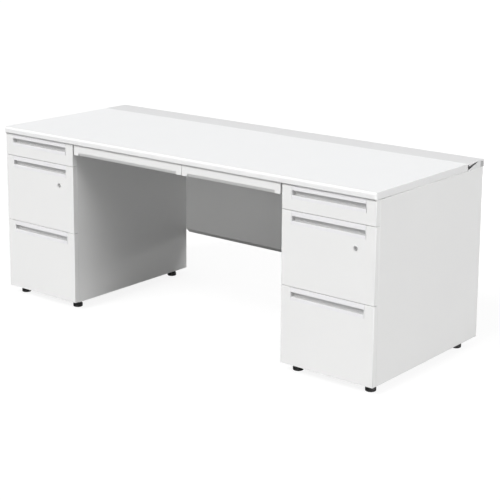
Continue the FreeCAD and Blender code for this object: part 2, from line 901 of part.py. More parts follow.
def make_modesty_panel():
    """A sheet with a rolled hem and a flange under the duct, and a strap behind each of its ends."""
    back = inner_panel_rear
    face = back - body_sheet
    low = size("modesty_floor_gap")
    hem = size("modesty_hem_radius")
    hem_top = low + hem
    flange_back = face + size("modesty_flange")
    outline = [
        (face, under_top),
        (flange_back, under_top),
        (flange_back, under_top - body_sheet),
        (back, under_top - body_sheet),
        (back, hem_top),
        Bend(face + hem, hem_top),
        (face + hem, low + body_sheet),
        (face + hem, low),
        Bend(face + hem, hem_top, clockwise=True),
        (face, hem_top),
    ]
    panel = profile("modesty_panel", "YZ_Plane", outline, [-inner_x, inner_x])
    reach = size("strap_reach")
    strap_y = [back, back + size("strap_sheet")]
    strap_z = [hem_top, under_top - body_sheet]
    straps = []
    for name, side in SIDES.items():
        strap_x = span(side * (inner_x - reach), side * (inner_x + reach))
        straps.append(block(f"{name}_modesty_strap", strap_x, strap_y, strap_z))
    return [panel, group("modesty_straps", straps)]


# Wiring duct and its lids

hinge_y = rear_edge - size("hinge_offset")
lid_under = top_face - size("lid_sheet")
hinge_z = lid_under - size("hinge_offset") + size("lid_sheet")
hinge_outer = size("hinge_pin_radius") + size("hinge_wall")


def knuckle_centres(name):
    """The middles of the two hinge knuckles of one lid."""
    side = SIDES[name]
    far = half_width - size("hinge_inset")
    return {"far": side * far, "near": side * size("hinge_inset")}


def make_lug(label, low_x, rear_wall, wall_top):
    """A rounded ear on the duct's rear wall that holds one end of a hinge pin."""
    along = [low_x, low_x + size("lug_width")]
    ear = rod(f"{label}_ear", "x", hinge_outer, along, ZERO, hinge_y, hinge_z)
    foot = block(f"{label}_foot", along, [hinge_y, rear_wall], [wall_top - hinge_outer, hinge_z])
    return [ear, foot]


def make_cheek(name, side):
    """A plate over the duct's end, cut away in front for cords and short of the rear wall."""
    floor = under_top + body_sheet
    front = duct_front + body_sheet
    rear = end_panel_rear - size("cheek_rear_gap")
    high = lid_under - size("lid_gap")
    outline = [(front, floor), (rear, floor), (rear, high), (front + size("cheek_notch"), high)]
    along = span(side * (half_width - body_sheet), side * half_width)
    return profile(f"{name}_duct_cheek", "YZ_Plane", outline, along)


def make_duct():
    """A shallow trough with notched cheeks at its ends and cable slots in its floor."""
    rear_wall = end_panel_rear
    wall_top = under_top + size("duct_wall_height")
    outline = [
        (duct_front, under_top),
        (rear_wall, under_top),
        (rear_wall, wall_top),
        (rear_wall - body_sheet, wall_top),
        (rear_wall - body_sheet, under_top + body_sheet),
        (duct_front + body_sheet, under_top + body_sheet),
        (duct_front + body_sheet, lid_under - body_sheet),
        (duct_front + size("duct_ledge"), lid_under - body_sheet),
        (duct_front + size("duct_ledge"), lid_under),
        (duct_front, lid_under),
    ]
    trough = profile("duct_trough", "YZ_Plane", outline, [-half_width, half_width])
    ears = []
    bores = []
    pins = []
    reach = size("knuckle_length") / 2 + size("lug_gap")
    width = size("lug_width")
    for name in SIDES:
        for place, centre in knuckle_centres(name).items():
            label = f"{name}_{place}"
            pin_x = [centre - reach - width, centre + reach + width]
            ears += make_lug(f"{label}_low_lug", pin_x[0], rear_wall, wall_top)
            ears += make_lug(f"{label}_high_lug", centre + reach, rear_wall, wall_top)
            radius = size("hinge_pin_radius")
            bore_x = [pin_x[0] - OVERRUN, pin_x[1] + OVERRUN]
            bores.append(rod(f"{label}_pin_bore", "x", radius, bore_x, ZERO, hinge_y, hinge_z))
            pins.append(rod(f"{label}_hinge_pin", "x", radius, pin_x, ZERO, hinge_y, hinge_z))
    cheeks = [make_cheek(name, side) for name, side in SIDES.items()]
    slots = []
    slot_y = [duct_front + body_sheet * 2, duct_front + body_sheet * 2 + size("duct_slot_depth")]
    for name, side in SIDES.items():
        slot_x = span(side * size("hinge_inset"), side * (size("hinge_inset") + size("duct_slot_width")))
        slots.append(block(f"{name}_cable_slot", slot_x, slot_y, [under_top - OVERRUN, under_top + OVERRUN]))
    duct = cut("wiring_duct", fuse("duct_blank", [trough] + cheeks + ears), bores + slots)
    return [duct, group("duct_hinge_pins", pins)]


def make_lid(name):
    """A flat cover with a stiffening lip, a gusset at its outer end and two hinge knuckles."""
    side = SIDES[name]
    gap = size("lid_gap")
    x = span(side * gap / 2, side * half_width)
    sheet_y = [duct_front + size("lid_front_gap"), rear_edge]
    lip_front = duct_front + size("duct_ledge") + gap
    outline = [
        (sheet_y[0], lid_under),
        (sheet_y[0], top_face),
        (sheet_y[1], top_face),
        (sheet_y[1], lid_under),
        (lip_front + size("lid_sheet"), lid_under),
        (lip_front + size("lid_sheet"), lid_under - size("lid_lip_height")),
        (lip_front, lid_under - size("lid_lip_height")),
        (lip_front, lid_under),
    ]
    plate = profile(f"{name}_lid_plate", "YZ_Plane", outline, x)
    gusset_low = lid_under - size("lid_lip_height")
    corner = [(lip_front, lid_under), (lip_front, gusset_low), (lip_front + size("lid_gusset"), lid_under)]
    gusset_x = span(side * (half_width - size("lid_sheet")), side * half_width)
    gusset = profile(f"{name}_lid_gusset", "YZ_Plane", corner, gusset_x)
    knuckles = []
    bores = []
    half = size("knuckle_length") / 2
    bore_radius = size("hinge_pin_radius") + size("running_fit")
    for place, centre in knuckle_centres(name).items():
        along = [centre - half, centre + half]
        label = f"{name}_{place}_knuckle"
        knuckles.append(rod(f"{label}_eye", "x", hinge_outer, along, ZERO, hinge_y, hinge_z))
        neck_y = [hinge_y - hinge_outer, hinge_y]
        knuckles.append(block(f"{label}_neck", along, neck_y, [hinge_z, lid_under]))
        bore_x = [along[0] - OVERRUN, along[1] + OVERRUN]
        bores.append(rod(f"{label}_bore", "x", bore_radius, bore_x, ZERO, hinge_y, hinge_z))
    return cut(f"{name}_duct_lid", fuse(f"{name}_lid_blank", [plate, gusset] + knuckles), bores)


# The whole desk

def make_desk():
    pieces = make_worktop()
    cabinet_rails = []
    for name, side in SIDES.items():
        pieces += make_panels(name, side)
        pieces += make_levellers(name, side)
        drawers, rails = make_pedestal_drawers(name, side)
        pieces += drawers
        cabinet_rails += rails
    pieces.append(group("cabinet_rails", cabinet_rails))
    pieces += make_posts_and_ties()
    for name, (low, high) in centre_ranges().items():
        pieces += make_centre_drawer(name, low, high)
    pieces.append(make_centre_guides())
    pieces += make_modesty_panel()
    pieces += make_duct()
    for name in SIDES:
        pieces.append(make_lid(name))
    return pieces


def check_document(pieces):
    """Stop if any feature failed, any pocket cut nothing or any piece isn't sound."""
    for item in doc.Objects:
        if "Invalid" in item.State or "Error" in item.State:
            raise RuntimeError(f"{item.Label} failed: {item.State}")
        if item.TypeId == "PartDesign::Pocket":
            if item.Shape.Volume >= item.BaseFeature.Shape.Volume:
                raise RuntimeError(f"{item.Label} cuts nothing")
    for piece in pieces:
        if piece.Shape.isNull() or not piece.Shape.isValid():
            raise RuntimeError(f"{piece.Label} has no sound shape")


def write_parts(pieces):
    os.makedirs("parts", exist_ok=True)
    for piece in pieces:
        piece.Shape.exportStep(f"parts/{piece.Label}.step")


desk = make_desk()
doc.recompute()
check_document(desk)
write_parts(desk)
print(len(desk), "nodes,", sum(len(piece.Shape.Solids) for piece in desk), "solids")
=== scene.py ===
# %% [markdown]
# A steel office desk: two pedestals of three drawers, two shallow drawers between them, a white
# board on top and a lidded wiring duct behind. The solids come ready from the frame, in metres, with
# the floor at zero and the sitter on the -Y side. This lesson rounds their edges, adds the small
# fixings and gives every surface its finish.

# %% The frame and its box
import bmesh
import bpy
import json
import math
from mathutils import Matrix, Vector


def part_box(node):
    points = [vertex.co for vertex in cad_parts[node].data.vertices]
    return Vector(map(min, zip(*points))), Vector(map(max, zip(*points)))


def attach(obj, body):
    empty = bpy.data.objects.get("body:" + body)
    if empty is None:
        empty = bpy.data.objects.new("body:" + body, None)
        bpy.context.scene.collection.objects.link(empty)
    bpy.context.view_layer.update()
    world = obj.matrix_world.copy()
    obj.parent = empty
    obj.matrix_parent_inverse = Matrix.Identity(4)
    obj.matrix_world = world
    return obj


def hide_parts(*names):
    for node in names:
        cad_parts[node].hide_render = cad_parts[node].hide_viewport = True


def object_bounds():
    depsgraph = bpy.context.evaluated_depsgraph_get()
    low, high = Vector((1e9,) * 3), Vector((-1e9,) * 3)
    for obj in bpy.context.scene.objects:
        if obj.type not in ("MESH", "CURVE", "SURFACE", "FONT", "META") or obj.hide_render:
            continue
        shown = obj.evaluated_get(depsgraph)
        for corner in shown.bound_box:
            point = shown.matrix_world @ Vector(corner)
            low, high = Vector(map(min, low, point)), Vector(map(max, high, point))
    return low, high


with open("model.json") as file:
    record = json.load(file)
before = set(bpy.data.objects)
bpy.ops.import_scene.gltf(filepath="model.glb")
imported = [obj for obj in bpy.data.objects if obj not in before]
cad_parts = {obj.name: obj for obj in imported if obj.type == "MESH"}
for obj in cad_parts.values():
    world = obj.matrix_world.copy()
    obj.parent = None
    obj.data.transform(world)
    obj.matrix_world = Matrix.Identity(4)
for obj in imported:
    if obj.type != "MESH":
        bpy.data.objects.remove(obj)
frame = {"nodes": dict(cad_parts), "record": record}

CAD_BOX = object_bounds()
MM = 0.001
SIDES = ("left", "right")
DRAWERS = ("top", "file", "deep")
print("nodes", len(frame["nodes"]), "box", [round(n, 3) for n in CAD_BOX[1] - CAD_BOX[0]])

# %% [markdown]
# The camera stands to the right of the sitter, a little above the desk, as the photograph's did.
# The photograph keeps upright edges nearly parallel, which a lens does when it is moved down in its
# mount instead of being tipped. A small shift of the lens does the same here.

# %% The camera
IMAGE_SIDE = 500
SENSOR_WIDTH = 36
FOCAL_PIXELS = 1344.8
AXIS_PIXEL = (240, 150)
CAMERA_PLACE = Vector((3.2251, -3.8820, 1.6938))
CAMERA_TURN = math.radians(39.31)
CAMERA_TILT = math.radians(11.49)
CAMERA_ROLL = math.radians(0.29)


def make_camera():
    data = bpy.data.cameras.new("photo_camera")
    data.sensor_width = SENSOR_WIDTH
    data.lens = FOCAL_PIXELS / IMAGE_SIDE * SENSOR_WIDTH
    data.shift_x = (IMAGE_SIDE / 2 - AXIS_PIXEL[0]) / IMAGE_SIDE
    data.shift_y = (AXIS_PIXEL[1] - IMAGE_SIDE / 2) / IMAGE_SIDE
    camera = bpy.data.objects.new("photo_camera", data)
    turn = Matrix.Rotation(CAMERA_TURN, 4, "Z")
    tilt = Matrix.Rotation(math.pi / 2 - CAMERA_TILT, 4, "X")
    roll = Matrix.Rotation(CAMERA_ROLL, 4, "Z")
    camera.matrix_world = Matrix.Translation(CAMERA_PLACE) @ turn @ tilt @ roll
    bpy.context.scene.collection.objects.link(camera)
    bpy.context.scene.camera = camera
    return camera


print("lens", round(make_camera().data.lens, 1), "mm")

# %% [markdown]
# Node sums are easier to read as Python than as a web of boxes. A Wire is one socket: a sum, a
# difference or a product with it makes the Math node for it. A Web is one node tree, and its node
# method makes any other node: the settings first, then the sockets. Both serve finishes and
# repeated shapes.

# %% Wires and webs


class Wire:
    """An output socket of a node tree that takes part in sums."""

    def __init__(self, web, socket):
        self.web = web
        self.socket = socket

    def sum_with(self, operation, first, second):
        return self.web.node("ShaderNodeMath", {"operation": operation}, {0: first, 1: second})

    def __add__(self, other):
        return self.sum_with("ADD", self, other)

    def __sub__(self, other):
        return self.sum_with("SUBTRACT", self, other)

    def __rsub__(self, other):
        return self.sum_with("SUBTRACT", other, self)

    def __mul__(self, other):
        return self.sum_with("MULTIPLY", self, other)

    __radd__ = __add__
    __rmul__ = __mul__


class Web:
    """A node tree that grows by calls."""

    def __init__(self, tree):
        self.tree = tree

    def node(self, kind, settings=None, sockets=None, output=0):
        item = self.tree.nodes.new(kind)
        for name, value in (settings or {}).items():
            setattr(item, name, value)
        for key, value in (sockets or {}).items():
            self.feed(item.inputs[key], value)
        return Wire(self, item.outputs[output])

    def feed(self, socket, value):
        if isinstance(value, list):
            for wire in value:
                self.feed(socket, wire)
        elif isinstance(value, Wire):
            self.tree.links.new(value.socket, socket)
        else:
            socket.default_value = value


print("wires ready")

# %% [markdown]
# A finish is a material with one Principled shader. Its patterns read object coordinates, which are
# the desk's own metres because every piece sits at the origin, so a scale of 650 means 650 patches in
# a metre. A Mix node has many sockets that share a name, so those for colours go by number.

# %% Finishes
MIX_SHARE = 0
MIX_FIRST = 6
MIX_SECOND = 7
MIX_RESULT = 2


class Finish(Web):
    """A material with one Principled shader."""

    def __init__(self, name):
        self.material = bpy.data.materials.new(name)
        self.material.use_nodes = True
        super().__init__(self.material.node_tree)
        self.shader = self.tree.nodes["Principled BSDF"]

    def shade(self, **sockets):
        for name, value in sockets.items():
            self.feed(self.shader.inputs[name.replace("_", " ")], value)

    def place(self, stretch=(1, 1, 1)):
        """Object coordinates, stretched where a pattern runs one way."""
        point = self.node("ShaderNodeTexCoord", output="Object")
        return self.node("ShaderNodeMapping", {}, {"Vector": point, "Scale": stretch})

    def noise(self, place, scale, detail=2.0):
        """Even noise from 0 to 1; scale counts the patches in a metre."""
        sockets = {"Vector": place, "Scale": scale, "Detail": detail}
        return self.node("ShaderNodeTexNoise", {}, sockets, "Fac")

    def ramp(self, place, axis, start, end):
        """A share that climbs from 0 to 1 between two places along an axis."""
        value = self.node("ShaderNodeSeparateXYZ", {}, {"Vector": place}, axis)
        sockets = {"Value": value, "From Min": start, "From Max": end}
        return self.node("ShaderNodeMapRange", {}, sockets)

    def blend(self, share, first, second):
        """A colour between two, by a share from 0 to 1."""
        first, second = [item if isinstance(item, Wire) else (*item, 1) for item in (first, second)]
        sockets = {MIX_SHARE: share, MIX_FIRST: first, MIX_SECOND: second}
        return self.node("ShaderNodeMix", {"data_type": "RGBA"}, sockets, MIX_RESULT)

    def bump(self, height, strength, distance):
        sockets = {"Height": height, "Strength": strength, "Distance": distance}
        return self.node("ShaderNodeBump", {}, sockets)


print("finishes ready")

# %% [markdown]
# Nearly all that shows is folded sheet steel under a white powder coat. The powder melts into a skin
# with a faint orange-peel ripple, and its gloss is never quite even. Noise at two scales gives both:
# a fine one for the ripple, a broad one for the gloss and a trace of tone. The duct and its lids are a
# shade greyer than the rest, the trays inside the drawers are light grey, and the caps at the duct's
# ends are a middle grey.

# %% Powder coat on sheet steel
COATS = {
    "white_powder_coat": {"pale": (0.84, 0.84, 0.835), "deep": (0.80, 0.80, 0.795), "dullness": 0.36},
    "lid_powder_coat": {"pale": (0.775, 0.775, 0.78), "deep": (0.74, 0.74, 0.745), "dullness": 0.40},
    "grey_powder_coat": {"pale": (0.66, 0.665, 0.66), "deep": (0.61, 0.615, 0.61), "dullness": 0.42},
    "cap_powder_coat": {"pale": (0.48, 0.48, 0.48), "deep": (0.45, 0.45, 0.45), "dullness": 0.42},
}


def powder_coat(name, pale, deep, dullness):
    finish = Finish(name)
    place = finish.place()
    clouds = finish.noise(place, scale=2.5, detail=3.0)
    ripple = finish.noise(place, scale=650, detail=1.0)
    finish.shade(
        Base_Color=finish.blend(clouds, pale, deep),
        Roughness=clouds * 0.1 + ripple * 0.04 + dullness,
        Normal=finish.bump(ripple, strength=0.12, distance=0.2 * MM),
        Specular_IOR_Level=0.45,
    )
    return finish.material


WHITE_STEEL, LID_STEEL, TRAY_STEEL, CAP_STEEL = [powder_coat(name, **facts) for name, facts in COATS.items()]
print("coats", len(COATS))

# %% [markdown]
# The board is faced with a matt laminate. Its pressing plate leaves a fine pebble that keeps pen and
# paper from sliding and turns reflections into a soft sheen. Cells of a Voronoi texture are pebbles
# without any further work. The edge mouldings are plain satin plastic, drawn through a die, so their
# only marks are faint lines along the length.

# %% Laminate and edge mouldings


def laminate():
    finish = Finish("white_laminate")
    place = finish.place()
    pebble = finish.node("ShaderNodeTexVoronoi", {"feature": "SMOOTH_F1"}, {"Vector": place, "Scale": 900})
    clouds = finish.noise(place, scale=3.0, detail=4.0)
    finish.shade(
        Base_Color=finish.blend(clouds, (0.90, 0.905, 0.91), (0.875, 0.88, 0.885)),
        Roughness=clouds * 0.08 + pebble * 0.1 + 0.42,
        Normal=finish.bump(pebble, strength=0.15, distance=0.2 * MM),
        Specular_IOR_Level=0.4,
    )
    return finish.material


def drawn_plastic():
    finish = Finish("white_edge_plastic")
    lines = finish.noise(finish.place(stretch=(1.5, 300, 300)), scale=1.0, detail=3.0)
    clouds = finish.noise(finish.place(), scale=4.0)
    finish.shade(
        Base_Color=finish.blend(clouds, (0.83, 0.83, 0.83), (0.80, 0.80, 0.80)),
        Roughness=lines * 0.12 + 0.3,
        Normal=finish.bump(lines, strength=0.06, distance=0.2 * MM),
    )
    return finish.material


WHITE_BOARD = laminate()
WHITE_EDGE = drawn_plastic()
print("board finishes", WHITE_BOARD.name, WHITE_EDGE.name)

# %% [markdown]
# The pulls are sprayed from the front in a white with a breath of lilac. Inside the pocket the
# colour goes over to a grey with depth: this grey is painted shade, which darkens the finger slot
# beyond its own shade. Spray also leaves a fine grain: small cells vary the tone and the gloss.

# %% Moulded pulls
PULL_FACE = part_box("left_top_pull")[0][1]
# Painted shade: between these depths behind the pull's face the colour turns to this grey.
POCKET_SHADE_DEPTHS = (2 * MM, 8 * MM)
POCKET_SHADE_GREY = (0.66, 0.66, 0.66)


def sprayed_plastic():
    finish = Finish("sprayed_plastic")
    place = finish.place()
    cells = finish.node("ShaderNodeTexVoronoi", {"feature": "F1"}, {"Vector": place, "Scale": 1600}, "Color")
    grain = finish.node("ShaderNodeSeparateColor", {}, {"Color": cells})
    clouds = finish.noise(place, scale=12.0)
    sprayed = finish.blend(grain, (0.84, 0.835, 0.85), (0.79, 0.785, 0.80))
    # Painted shade: the share of grey that grows with depth inside the pocket.
    pocket_shade = finish.ramp(place, "Y", *[PULL_FACE + depth for depth in POCKET_SHADE_DEPTHS])
    finish.shade(
        Base_Color=finish.blend(pocket_shade, sprayed, POCKET_SHADE_GREY),
        Roughness=clouds * 0.1 + grain * 0.1 + 0.3,
        Specular_IOR_Level=0.45,
    )
    return finish.material


GRIP_PLASTIC = sprayed_plastic()
print("pulls", GRIP_PLASTIC.name)

# %% [markdown]
# Rails, guides and posts are zinc plated. The strip was rolled along its length, so its streaks run
# along Y, and plating clouds its tone a little to blue and to straw. Stretching the noise along Y
# draws the streaks. The locks are nickel plated and worn by keys, which fine noise shows.

# %% Plated metals


def zinc_plate():
    finish = Finish("zinc_plate")
    streaks = finish.noise(finish.place(stretch=(220, 3, 220)), scale=1.0, detail=4.0)
    clouds = finish.noise(finish.place(), scale=9.0, detail=3.0)
    finish.shade(
        Base_Color=finish.blend(clouds, (0.60, 0.63, 0.67), (0.68, 0.66, 0.60)),
        Metallic=0.95,
        Roughness=streaks * 0.22 + clouds * 0.08 + 0.2,
        Normal=finish.bump(streaks, strength=0.1, distance=0.3 * MM),
    )
    return finish.material


def nickel_plate(name, bright, dull):
    finish = Finish(name)
    wear = finish.noise(finish.place(), scale=180, detail=4.0)
    finish.shade(
        Base_Color=finish.blend(wear, bright, dull),
        Metallic=0.9,
        Roughness=wear * 0.2 + 0.22,
        Normal=finish.bump(wear, strength=0.05, distance=0.2 * MM),
    )
    return finish.material


ZINC_STEEL = zinc_plate()
LOCK_METAL = nickel_plate("nickel_plate", (0.86, 0.86, 0.86), (0.78, 0.78, 0.775))
PLUG_METAL = nickel_plate("worn_nickel", (0.84, 0.84, 0.845), (0.76, 0.76, 0.76))
print("plated", ZINC_STEEL.name, LOCK_METAL.name, PLUG_METAL.name)

# %% [markdown]
# Two plain plastics are left: the dark grey of the pen trays, moulded with a fine spark grain, and
# the black of the levellers, which scuffs to grey where it rubs on the floor.

# %% Grained and black plastics
SCUFF_HEIGHT = 7 * MM


def grained_plastic():
    finish = Finish("grained_plastic")
    place = finish.place()
    grain = finish.noise(place, scale=1100)
    clouds = finish.noise(place, scale=14.0)
    finish.shade(
        Base_Color=finish.blend(clouds, (0.24, 0.245, 0.25), (0.20, 0.205, 0.21)),
        Roughness=grain * 0.2 + 0.45,
        Normal=finish.bump(grain, strength=0.3, distance=0.3 * MM),
    )
    return finish.material


def black_plastic():
    finish = Finish("black_plastic")
    place = finish.place()
    grain = finish.noise(place, scale=700)
    scuff = (1 - finish.ramp(place, "Z", 0, SCUFF_HEIGHT)) * grain
    finish.shade(
        Base_Color=finish.blend(scuff, (0.012, 0.012, 0.013), (0.10, 0.10, 0.10)),
        Roughness=grain * 0.2 + 0.4,
        Normal=finish.bump(grain, strength=0.15, distance=0.3 * MM),
    )
    return finish.material


PEN_PLASTIC = grained_plastic()
BLACK_PLASTIC = black_plastic()
print("plastics", PEN_PLASTIC.name, BLACK_PLASTIC.name)

# %% [markdown]
# Each node of the frame names a slot of the record, and each slot has its finish. The pieces that
# keep the frame's own mesh take it straight through their material slots.

# %% A finish for every slot
FINISHES = {
    "white_steel": WHITE_STEEL,
    "white_board": WHITE_BOARD,
    "white_edge": WHITE_EDGE,
    "grip_plastic": GRIP_PLASTIC,
    "zinc_steel": ZINC_STEEL,
    "tray_steel": TRAY_STEEL,
    "pen_plastic": PEN_PLASTIC,
    "lock_metal": LOCK_METAL,
    "black_plastic": BLACK_PLASTIC,
}
SLOT_OF = {part["node"]: part["material_slot"] for part in frame["record"]["subparts"]}
BODY_OF = {}
for body, members in frame["record"]["behaviour"]["bodies"].items():
    for member in members:
        BODY_OF[member] = body
for name, item in frame["nodes"].items():
    for place in item.material_slots:
        place.material = FINISHES[SLOT_OF[name]]

# %% [markdown]
# Folded sheet and moulded plastic have no knife edges: a fold has a small radius, and it catches a
# thin line of light. The frame's mesh is loose triangles, so a copy is first merged into whole faces.
# Solids of one node that touch are parted, so that each keeps edges of its own. Flat faces stay flat
# shaded, and only the narrow facets of arcs are smooth, so no false shade creeps over a panel.

# %% Merged copies of the frame's nodes
MERGE_DISTANCE = 1e-6
FLAT_ANGLE = math.radians(0.5)
CURVE_ANGLE = math.radians(35)
FACET_WIDTH = 4 * MM


def one_solid(faces):
    """Takes from a set of faces those that hang together with one of them."""
    waiting = [faces.pop()]
    solid = []
    while waiting:
        face = waiting.pop()
        solid.append(face)
        for edge in face.edges:
            joined = faces.intersection(edge.link_faces)
            faces -= joined
            waiting += joined
    return solid


def part_solids(shape):
    """Frees solids of one node that touch, so that each keeps edges of its own."""
    shared = [edge for edge in shape.edges if len(edge.link_faces) > 2]
    bmesh.ops.split_edges(shape, edges=shared)
    faces = set(shape.faces)
    solids = []
    while faces:
        solids.append(one_solid(faces))
    for solid in solids:
        corners = {vertex for face in solid for vertex in face.verts}
        bmesh.ops.remove_doubles(shape, verts=list(corners), dist=MERGE_DISTANCE)


def on_curve(face):
    """Whether a face is a narrow facet of an arc, with soft edges on both its sides."""
    soft = [edge for edge in face.edges if FLAT_ANGLE < edge.calc_face_angle(0) < CURVE_ANGLE]
    longest = max(edge.calc_length() for edge in face.edges)
    return len(soft) > 1 and face.calc_area() < longest * FACET_WIDTH


def merged_copy(node):
    """A node's mesh in whole faces, with the facets of its arcs smooth."""
    shape = bmesh.new()
    shape.from_mesh(frame["nodes"][node].data)
    bmesh.ops.remove_doubles(shape, verts=shape.verts, dist=MERGE_DISTANCE)
    part_solids(shape)
    bmesh.ops.dissolve_limit(shape, angle_limit=FLAT_ANGLE, verts=shape.verts, edges=shape.edges)
    for face in shape.faces:
        face.smooth = on_curve(face)
    return shape


print("merging ready")

# %% [markdown]
# The edges around the faces that show are then rounded by a bevel, and the copy stands for its node,
# on the node's own body and in its slot. A function given as after changes the shape further.

# %% Rounded rims
PLANE_FIT = 1e-5
SLIVER = 1e-5
RIM_SEGMENTS = 3
EVEN_ROUND = 0.5


def mesh_of(name, shape):
    """Turns a shape that is done into a mesh."""
    mesh = bpy.data.meshes.new(name)
    shape.to_mesh(mesh)
    shape.free()
    return mesh


def add_piece(name, mesh, body, slot):
    """Puts a finished mesh in the scene, on its body and in its slot."""
    item = bpy.data.objects.new(name, mesh)
    bpy.context.scene.collection.objects.link(item)
    if not mesh.materials:
        mesh.materials.append(FINISHES[slot])
    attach(item, body)
    return item


def rim_edges(shape, planes):
    """The sharp edges that lie on the named planes of the shape's box, such as -y."""
    chosen = set()
    for plane in planes:
        axis = "xyz".index(plane[1])
        pick = min if plane[0] == "-" else max
        level = pick(vertex.co[axis] for vertex in shape.verts)
        for edge in shape.edges:
            near = all(abs(vertex.co[axis] - level) < PLANE_FIT for vertex in edge.verts)
            if near and edge.calc_face_angle(0) > CURVE_ANGLE:
                chosen.add(edge)
    return list(chosen)


def rounded(node, planes, radius, after=None):
    """A copy of a node, rounded along the rims of these planes, that stands for the node."""
    shape = merged_copy(node)
    edges = rim_edges(shape, planes)
    facts = {"segments": RIM_SEGMENTS, "profile": EVEN_ROUND, "affect": "EDGES", "clamp_overlap": True}
    result = bmesh.ops.bevel(shape, geom=edges, offset=radius, **facts)
    for face in result["faces"]:
        face.smooth = True
    if after:
        after(shape)
    bmesh.ops.dissolve_degenerate(shape, edges=shape.edges, dist=SLIVER)
    name = f"{node}_piece"
    item = add_piece(name, mesh_of(name, shape), BODY_OF[node], SLOT_OF[node])
    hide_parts(node)
    return item


print("rounding ready")

# %% [markdown]
# Three kinds of piece need more than round rims. The worktop's front corners turn in a quarter round:
# slices are cut near its ends and their fronts are moved back. The end panels stop a little short of
# the worktop, and the dark seam that this leaves narrows towards the rear. The modesty panel's hem
# leans back flat, half way between upright and level, so that all of it lies in shade.

# %% Corners, seams and hem
PANEL_RADIUS = 3.0 * MM
SEAM_FRONT = 3.2 * MM
SEAM_REAR = 1.2 * MM
CORNER_RADIUS = 10 * MM
CORNER_STEPS = 6
STEEP = 0.5
QUARTER_TURN = math.pi / 2
HALF_WAY = math.cos(QUARTER_TURN / 2)


def corner_depth(inset):
    """How far the worktop's front stands back, this far in from the end."""
    return CORNER_RADIUS - math.sqrt(CORNER_RADIUS**2 - (CORNER_RADIUS - inset) ** 2)


def turn_corners(shape):
    """Cuts slices near both ends and moves their fronts back onto a quarter round."""
    low, high = CAD_BOX
    for step in range(CORNER_STEPS):
        inset = CORNER_RADIUS * (1 - math.sin(QUARTER_TURN * step / CORNER_STEPS))
        for end in (low[0] + inset, high[0] - inset):
            everything = shape.verts[:] + shape.edges[:] + shape.faces[:]
            bmesh.ops.bisect_plane(shape, geom=everything, plane_co=(end, 0, 0), plane_no=(1, 0, 0))
    for vertex in shape.verts:
        inset = max(0, high[0] - abs(vertex.co.x))
        if inset < CORNER_RADIUS:
            vertex.co.y = max(vertex.co.y, low[1] + corner_depth(inset))
    for face in shape.faces:
        middle = face.calc_center_median()
        beside = high[0] - abs(middle.x) < CORNER_RADIUS
        if beside and middle.y < low[1] + CORNER_RADIUS:
            face.smooth = abs(face.normal.z) < STEEP


def open_seam(shape):
    """Lowers the upper rim of an end panel, so that a dark seam shows under the worktop."""
    top = max(vertex.co.z for vertex in shape.verts)
    front = min(vertex.co.y for vertex in shape.verts)
    rear = max(vertex.co.y for vertex in shape.verts)
    for vertex in shape.verts:
        if vertex.co.z > top - PANEL_RADIUS - PLANE_FIT:
            share = (vertex.co.y - front) / (rear - front)
            vertex.co.z -= SEAM_FRONT + (SEAM_REAR - SEAM_FRONT) * share


def straighten_hem(shape):
    """Draws the modesty panel's rolled hem flat, from where it leaves the panel to where it ends."""
    face = min(vertex.co.y for vertex in shape.verts)
    foot = min(vertex.co.z for vertex in shape.verts)
    depth = max(vertex.co.y for vertex in shape.verts if vertex.co.z < foot + MM) - face
    for vertex in shape.verts:
        down = foot + depth - vertex.co.z
        if down > PLANE_FIT:
            out = face + depth - vertex.co.y
            share = math.atan2(down, out) / QUARTER_TURN
            inside = (depth - math.hypot(out, down)) * HALF_WAY
            vertex.co.y = face + depth * share + inside
            vertex.co.z = foot + depth * (1 - share) + inside


print("seam from", round(SEAM_FRONT / MM, 1), "to", round(SEAM_REAR / MM, 1), "mm")

# %% [markdown]
# The radius follows the piece: widest on the end panels, smaller on folded fronts, finest on the bare
# edges of sheet. Only rims that show are rounded, which keeps the pieces light.

# %% Rounded pieces
FOLD_RADIUS = 1.6 * MM
BOARD_RADIUS = 0.8 * MM
PULL_RADIUS = 0.9 * MM
SHEET_RADIUS = 0.4 * MM
pieces = []
for side, outer, inner in (("left", "-x", "+x"), ("right", "+x", "-x")):
    pieces.append(rounded(f"{side}_end_panel", [outer], PANEL_RADIUS, after=open_seam))
    pieces.append(rounded(f"{side}_inner_panel", [inner], FOLD_RADIUS))
    pieces.append(rounded(f"{side}_back_panel", ["+y"], FOLD_RADIUS))
    lid = rounded(f"{side}_duct_lid", ["+z"], BOARD_RADIUS)
    lid.material_slots[0].material = LID_STEEL
    pieces.append(lid)
    pieces.append(rounded(f"{side}_centre_front", ["-y"], FOLD_RADIUS))
    for drawer in DRAWERS:
        pieces.append(rounded(f"{side}_{drawer}_front", ["-y"], FOLD_RADIUS))
        pieces.append(rounded(f"{side}_{drawer}_pull", ["-y"], PULL_RADIUS))
pieces.append(rounded("worktop_edges", ["-x", "+x"], BOARD_RADIUS, after=turn_corners))
pieces.append(rounded("modesty_panel", ["-x", "+x"], SHEET_RADIUS, after=straighten_hem))
pieces.append(rounded("modesty_straps", ["+y"], SHEET_RADIUS))
duct = rounded("wiring_duct", ["-x", "+x"], SHEET_RADIUS)
duct.material_slots[0].material = LID_STEEL
pieces.append(duct)
print("rounded", len(pieces), "pieces")
